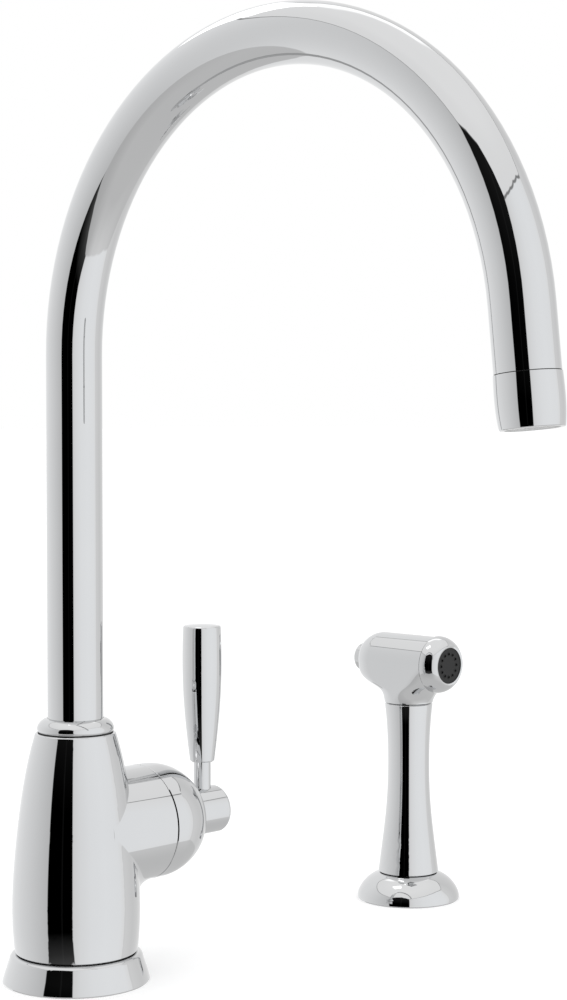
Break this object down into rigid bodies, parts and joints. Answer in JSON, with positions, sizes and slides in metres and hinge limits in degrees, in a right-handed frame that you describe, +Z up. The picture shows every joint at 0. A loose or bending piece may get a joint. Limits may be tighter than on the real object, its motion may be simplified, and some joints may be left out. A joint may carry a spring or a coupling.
{
  "type": "side spray kitchen faucet",
  "caption": "Chrome deck kitchen faucet with a tall turning gooseneck spout, a side lever on a domed branch, and a separate hand spray in its own deck holder.",
  "frame": {"origin": "middle of the faucet's base on the deck, on the axis of its mounting shank", "axes": "+Z up along the body and the riser, -Y towards the spout's outlet, +X along the valve branch towards the lever and the hand spray"},
  "size_m": [0.2911, 0.3064, 0.4859],
  "materials": {
    "chrome": "polished",
    "steel": "plain zinc-plated or stainless",
    "brass": "turned, unplated",
    "rubber": "matt black",
    "face_rubber": "dark grey, soft",
    "black_plastic": "moulded",
    "white_plastic": "moulded",
    "ceramic": "lapped ceramic, shown as a hard white gloss"
  },
  "bodies": {
    "base": {"base_ring": "chrome", "base_gasket": "rubber", "tap_body": "chrome", "spout_collar": "chrome", "diverter_cage": "brass", "cartridge_housing": "white_plastic", "cartridge_port_seals": "rubber", "fixed_disc": "ceramic", "cartridge_nut": "brass", "body_shank": "brass", "body_rubber_washer": "rubber", "body_clamp_washer": "steel", "body_shank_nut": "brass", "spray_base": "chrome", "spray_base_gasket": "rubber", "spray_liner": "black_plastic", "spray_shank": "brass", "spray_rubber_washer": "rubber", "spray_clamp_washer": "steel", "spray_shank_nut": "brass"},
    "diverter": {"diverter_piston": "white_plastic", "diverter_seal": "rubber"},
    "spout": {"spout_tube": "chrome", "spout_spigot": "brass", "spout_seal_rings": "rubber", "spout_glide_ring": "white_plastic", "aerator_barrel": "chrome", "aerator_insert": "white_plastic", "aerator_seal": "rubber"},
    "rotor": {"cartridge_rotor": "white_plastic", "spindle_pin": "steel", "handle_dome": "chrome"},
    "disc": {"moving_disc": "ceramic"},
    "lever": {"spindle": "steel", "lever_hub": "chrome", "hub_grub_screw": "steel", "lever_stem": "chrome", "lever_grip": "chrome"},
    "handset": {"spray_grip": "chrome", "spray_tail": "black_plastic", "hose_nipple": "brass", "spray_head": "chrome", "valve_seat": "white_plastic", "nozzle_ring": "chrome", "spray_face": "face_rubber", "valve_spring": "steel"},
    "button": {"spray_button": "chrome", "valve_rod": "steel", "valve_seal": "rubber"}
  },
  "joints": [
    {"name": "spout_swivel", "type": "hinge", "parent": "base", "child": "spout", "pos_m": [0, 0, 0.1], "axis": [0, 0, 1], "continuous": true},
    {"name": "diverter_lift", "type": "slide", "parent": "base", "child": "diverter", "axis": [0, 0, 1], "range_m": [0, 0.002]},
    {"name": "handle_turn", "type": "hinge", "parent": "base", "child": "rotor", "pos_m": [0.045, 0, 0.0671], "axis": [1, 0, 0], "range_deg": [-45, 45]},
    {"name": "lever_tilt", "type": "hinge", "parent": "rotor", "child": "lever", "pos_m": [0.045, 0, 0.0671], "axis": [0, 1, 0], "range_deg": [0, 17]},
    {"name": "disc_slide", "type": "slide", "parent": "rotor", "child": "disc", "axis": [0, 0, 1], "range_m": [0, 0.00542]},
    {"name": "handset_lift", "type": "slide", "parent": "base", "child": "handset", "axis": [0, 0, 1], "range_m": [0, 0.08]},
    {"name": "button_press", "type": "slide", "parent": "handset", "child": "button", "axis": [0, -1, 0], "range_m": [0, 0.0018], "stiffness_N_per_m": 900, "deforming": ["valve_spring"]}
  ],
  "couplings": [
    {"joint": "disc_slide", "follows": "lever_tilt", "m_per_rad": 0.0182}
  ]
}
